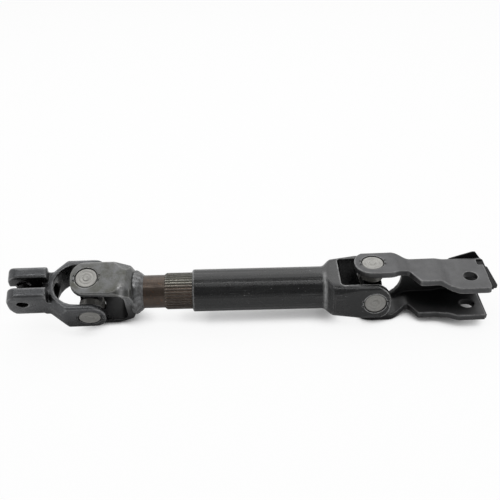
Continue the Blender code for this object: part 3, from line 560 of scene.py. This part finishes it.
seal_rubber = plain_material("seal_rubber", colour=(0.012, 0.012, 0.012), roughness=0.6)
for node in frame["nodes"]:
    if node.startswith("seal_"):
        finish_node(node, seal_rubber)


# Bearing cups
# Drawn steel cups, pressed into the ears. Their ends are faced on a lathe, which leaves
# rings round a small raised middle, and they stay brighter than the yokes.
CUP_RADIUS = 0.0080
CUP_FACE = 0.0212
CUP_LENGTH = 0.0119
CUP_BORE = 0.0067
CUP_FLOOR = 0.0020
CUP_SEGMENTS = 72
# From the middle of the end outwards: radius, and depth below the cup's face
CUP_END = ((0.0, 0.00012), (0.0008, 0.00012), (0.0013, 0.0), (0.0020, 0.0), (0.0025, 0.00040),
           (0.0031, 0.00046), (0.0036, 0.00018), (0.0046, 0.00012), (0.0050, 0.00034),
           (0.0054, 0.00036), (0.0058, 0.00010), (0.0066, 0.00004), (0.0070, 0.0),
           (0.0074, 0.00005), (0.0078, 0.00028), (CUP_RADIUS, 0.00070))
CUP_PROFILE = [(radius, CUP_FACE - depth) for radius, depth in CUP_END]
CUP_PROFILE += [(CUP_RADIUS, CUP_FACE - CUP_LENGTH), (CUP_BORE, CUP_FACE - CUP_LENGTH),
                (CUP_BORE, CUP_FACE - CUP_FLOOR), (0.0, CUP_FACE - CUP_FLOOR)]
cup_pivot = {"right_tube": "right_cross_pivot", "right_channel": "right_yoke_pivot",
             "left_shaft": "left_cross_pivot", "left_clamp": "left_yoke_pivot"}
cup_steel = skin_material(
    "cup_steel", metallic=0.60, base=(0.29, 0.285, 0.27),
    patch=(0.20, 0.196, 0.186), wear_and_sheen=(0.50, 0.50, 0.49),
    Patch_Scale=170.0, Patch_Amount=0.5, Edge_Amount=0.0, Edge_Radius=0.0002, Roughness=0.44,
    Speckle=0.10, Bump=0.12, Cavity=0.5, Nook_Reach=0.0012)
cup_places = {}
for ears, pivot_name in cup_pivot.items():
    centre = Vector(pivots[pivot_name]["pos_m"])
    axis = Vector(pivots[pivot_name]["axis"]).normalized()
    for index in (1, 2):
        node = f"cup_{ears}_{index}"
        low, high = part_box(node)
        side = (Vector(low) + Vector(high)) / 2 - centre
        outward = axis if side.dot(axis) > 0 else -axis
        across = outward.cross(Vector((1, 0, 0))).normalized()
        place = Matrix.Translation(centre) @ directions(across.cross(outward), across, outward)
        cup_places[node] = place
        cup = turned_mesh(f"turned_{node}", CUP_PROFILE, CUP_SEGMENTS)
        cup.data.transform(place)
        cup.data.materials.append(cup_steel)
        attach(cup, body_of(node))
        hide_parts(node)


# Stake marks
# Once a cup is pressed in, punch marks in the ear beside it push a little metal over its
# edge and lock it in.
STAKE_FACE = 0.0216
STAKE_RADIUS = 0.0092
STAKE_HEIGHT = 0.00026
STAKE_SEGMENTS = 14
STAKE_ANGLES = (-13.0, 13.0, 167.0, 193.0)
# The punched hollow: its floor's radius, and how straight up such a face looks
HOLLOW_RADIUS = 0.00062
HOLLOW_UP = 0.5
# An ear that faces down this far rests on the floor
RESTING_TURN = -0.9
STAKE_PIT = ((0.0, 0.00003), (0.00055, 0.00003), (0.00068, 0.00022), (0.00088, STAKE_HEIGHT),
             (0.00112, -0.00010), (0.0, -0.00010))
punch_shadow = plain_material("punch_shadow", colour=(0.006, 0.006, 0.006), roughness=0.7)
stake_finish = {"right_tube": (black_finish, "black_finish"),
                "right_channel": (plate_grey, "plate_grey"),
                "left_shaft": (pressed_grey, "pressed_grey"),
                "left_clamp": (forged_grey, "forged_grey")}
for node, place in cup_places.items():
    cup_name = node[len("cup_"):]
    finish, slot_name = stake_finish[cup_name[:-2]]
    # On the resting ear the marks stay level with its face
    sunk = STAKE_HEIGHT if place.col[2].z < RESTING_TURN else 0.0
    for number, angle in enumerate(STAKE_ANGLES, 1):
        turn = Matrix.Rotation(math.radians(angle), 4, "Z")
        mark = turned_mesh(f"stake_{cup_name}_{number}", STAKE_PIT, STAKE_SEGMENTS)
        mark.data.materials.append(finish)
        mark.data.materials.append(punch_shadow)
        # The hollow's floor gets punch_shadow, its painted shadow
        for face in mark.data.polygons:
            if face.center.xy.length < HOLLOW_RADIUS and face.normal.z > HOLLOW_UP:
                face.material_index = 1
        mark.data.transform(
            place @ turn @ Matrix.Translation((STAKE_RADIUS, 0, STAKE_FACE - sunk)))
        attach(mark, body_of(node))


# Floor and room
# A plain white ground under a white room, as in the photograph. The ground glows to the
# camera only, and less close under the part, so that it keeps a shadow there.
WHITE = (1.0, 1.0, 1.0)
FLOOR_SIZE = 4.0
FLOOR_DROP = 0.0002
FLOOR_GLOW = 0.91
SHADOW_REACH = 0.016
SHADOW_SPAN = (0.24, 0.70)
ROOM_LEVEL = 0.45
# The side of the room behind the camera is dimmer than the rest
DIM_SIDE = (0.0, -0.80, 0.60)
DIM_SPAN = (0.10, 0.80)
DIM_LEVEL = 0.20


def shader_mix(tree, mask, first, second):
    """Mix two shaders by a mask."""
    made = tree.nodes.new("ShaderNodeMixShader")
    for socket, value in zip(made.inputs, (mask, first, second)):
        feed(tree, socket, value)
    return made.outputs[0]


floor_mesh = bpy.data.meshes.new("floor")
sheet = bmesh.new()
bmesh.ops.create_grid(sheet, x_segments=1, y_segments=1, size=FLOOR_SIZE)
bmesh.ops.translate(sheet, verts=sheet.verts, vec=(0, 0, -FLOOR_DROP))
sheet.to_mesh(floor_mesh)
sheet.free()
floor = set_down("floor", floor_mesh)

floor_paint = plain_material("white_floor", colour=(0.90, 0.90, 0.90), roughness=1.0)
shader_inputs(floor_paint)["Specular IOR Level"].default_value = 0.0
floor_tree = floor_paint.node_tree
open_above = place_node(floor_tree, "ShaderNodeAmbientOcclusion", {"samples": NOOK_SAMPLES},
                        Distance=SHADOW_REACH).outputs["AO"]
glow_share = math_of(
    floor_tree, "MULTIPLY", place_node(floor_tree, "ShaderNodeLightPath").outputs["Is Camera Ray"],
    ramp(floor_tree, open_above, SHADOW_SPAN, (0.0, FLOOR_GLOW), smooth=True))
glow = place_node(floor_tree, "ShaderNodeEmission", Color=WHITE, Strength=1.0)
feed(floor_tree, floor_tree.nodes["Material Output"].inputs["Surface"],
     shader_mix(floor_tree, glow_share, floor_tree.nodes["Principled BSDF"].outputs["BSDF"],
                glow.outputs["Emission"]))
floor.data.materials.append(floor_paint)

room = bpy.data.worlds.new("white_room")
bpy.context.scene.world = room
room.use_nodes = True
room_tree = room.node_tree
room_light = room_tree.nodes["Background"]
feed(room_tree, room_light.inputs["Color"], WHITE)
feed(room_tree, room_light.inputs["Strength"], ROOM_LEVEL)
seen = place_node(room_tree, "ShaderNodeBackground", Color=WHITE, Strength=1.0)
way = place_node(room_tree, "ShaderNodeTexCoord").outputs["Generated"]
facing = vector_of(room_tree, "DOT_PRODUCT", way, DIM_SIDE)
mirrored = place_node(room_tree, "ShaderNodeBackground", Color=WHITE,
                      Strength=ramp(room_tree, facing, DIM_SPAN, (1.0, DIM_LEVEL), smooth=True))
rays = place_node(room_tree, "ShaderNodeLightPath").outputs
shown = math_of(room_tree, "MAXIMUM",
                math_of(room_tree, "MAXIMUM", rays["Is Camera Ray"], rays["Is Glossy Ray"]),
                rays["Is Transmission Ray"])
backdrop = shader_mix(room_tree, rays["Is Glossy Ray"], seen.outputs[0], mirrored.outputs[0])
feed(room_tree, room_tree.nodes["World Output"].inputs["Surface"],
     shader_mix(room_tree, shown, room_light.outputs[0], backdrop))


# Lamps
# One broad soft box above and behind, and a narrow strip overhead, a little in front. The
# strip draws the light line along the tube.
LAMP_TARGET = (0, 0, 0.02)


def soft_box(name, place, width, depth, watts):
    """An area lamp that looks at the middle of the part."""
    lamp = bpy.data.lights.new(name, "AREA")
    lamp.shape = "RECTANGLE"
    lamp.size = width
    lamp.size_y = depth
    lamp.energy = watts
    turn = (Vector(place) - Vector(LAMP_TARGET)).to_track_quat("Z", "Y").to_matrix().to_4x4()
    set_down(name, lamp).matrix_world = Matrix.Translation(place) @ turn


soft_box("back_box", (0.0, 0.45, 0.75), width=1.2, depth=0.95, watts=4.15)
soft_box("strip_box", (-0.05, -0.26, 0.85), width=1.3, depth=0.12, watts=2.6)


# Camera
# A short telephoto, 34 degrees above the floor, rolled a little as the photograph is. It aims
# at a point on the shaft, left of the right joint.
AIM_FROM_RIGHT_JOINT = (-0.0891, 0, 0.0018)
ELEVATION = math.radians(34.0)
ROLL = math.radians(2.2)
DISTANCE = 0.600
FIELD = math.radians(34.4)
CLIP_START = 0.01
# How far the part lies below the picture's middle
IMAGE_LOW = 0.0287184
aim = Vector(pivots["right_cross_pivot"]["pos_m"]) + Vector(AIM_FROM_RIGHT_JOINT)
back = Vector((0, -math.cos(ELEVATION), math.sin(ELEVATION)))
level_up = Vector((0, math.sin(ELEVATION), math.cos(ELEVATION)))
level_right = Vector((1, 0, 0))
right = level_right * math.cos(ROLL) - level_up * math.sin(ROLL)
up = level_right * math.sin(ROLL) + level_up * math.cos(ROLL)
lens = bpy.data.cameras.new("photo_camera")
lens.angle = FIELD
lens.clip_start = CLIP_START
camera = set_down("photo_camera", lens)
camera.matrix_world = directions(right, up, back)
camera.matrix_world.translation = aim + level_up * IMAGE_LOW + back * DISTANCE
bpy.context.scene.camera = camera
bpy.context.scene.view_settings.view_transform = "Standard"
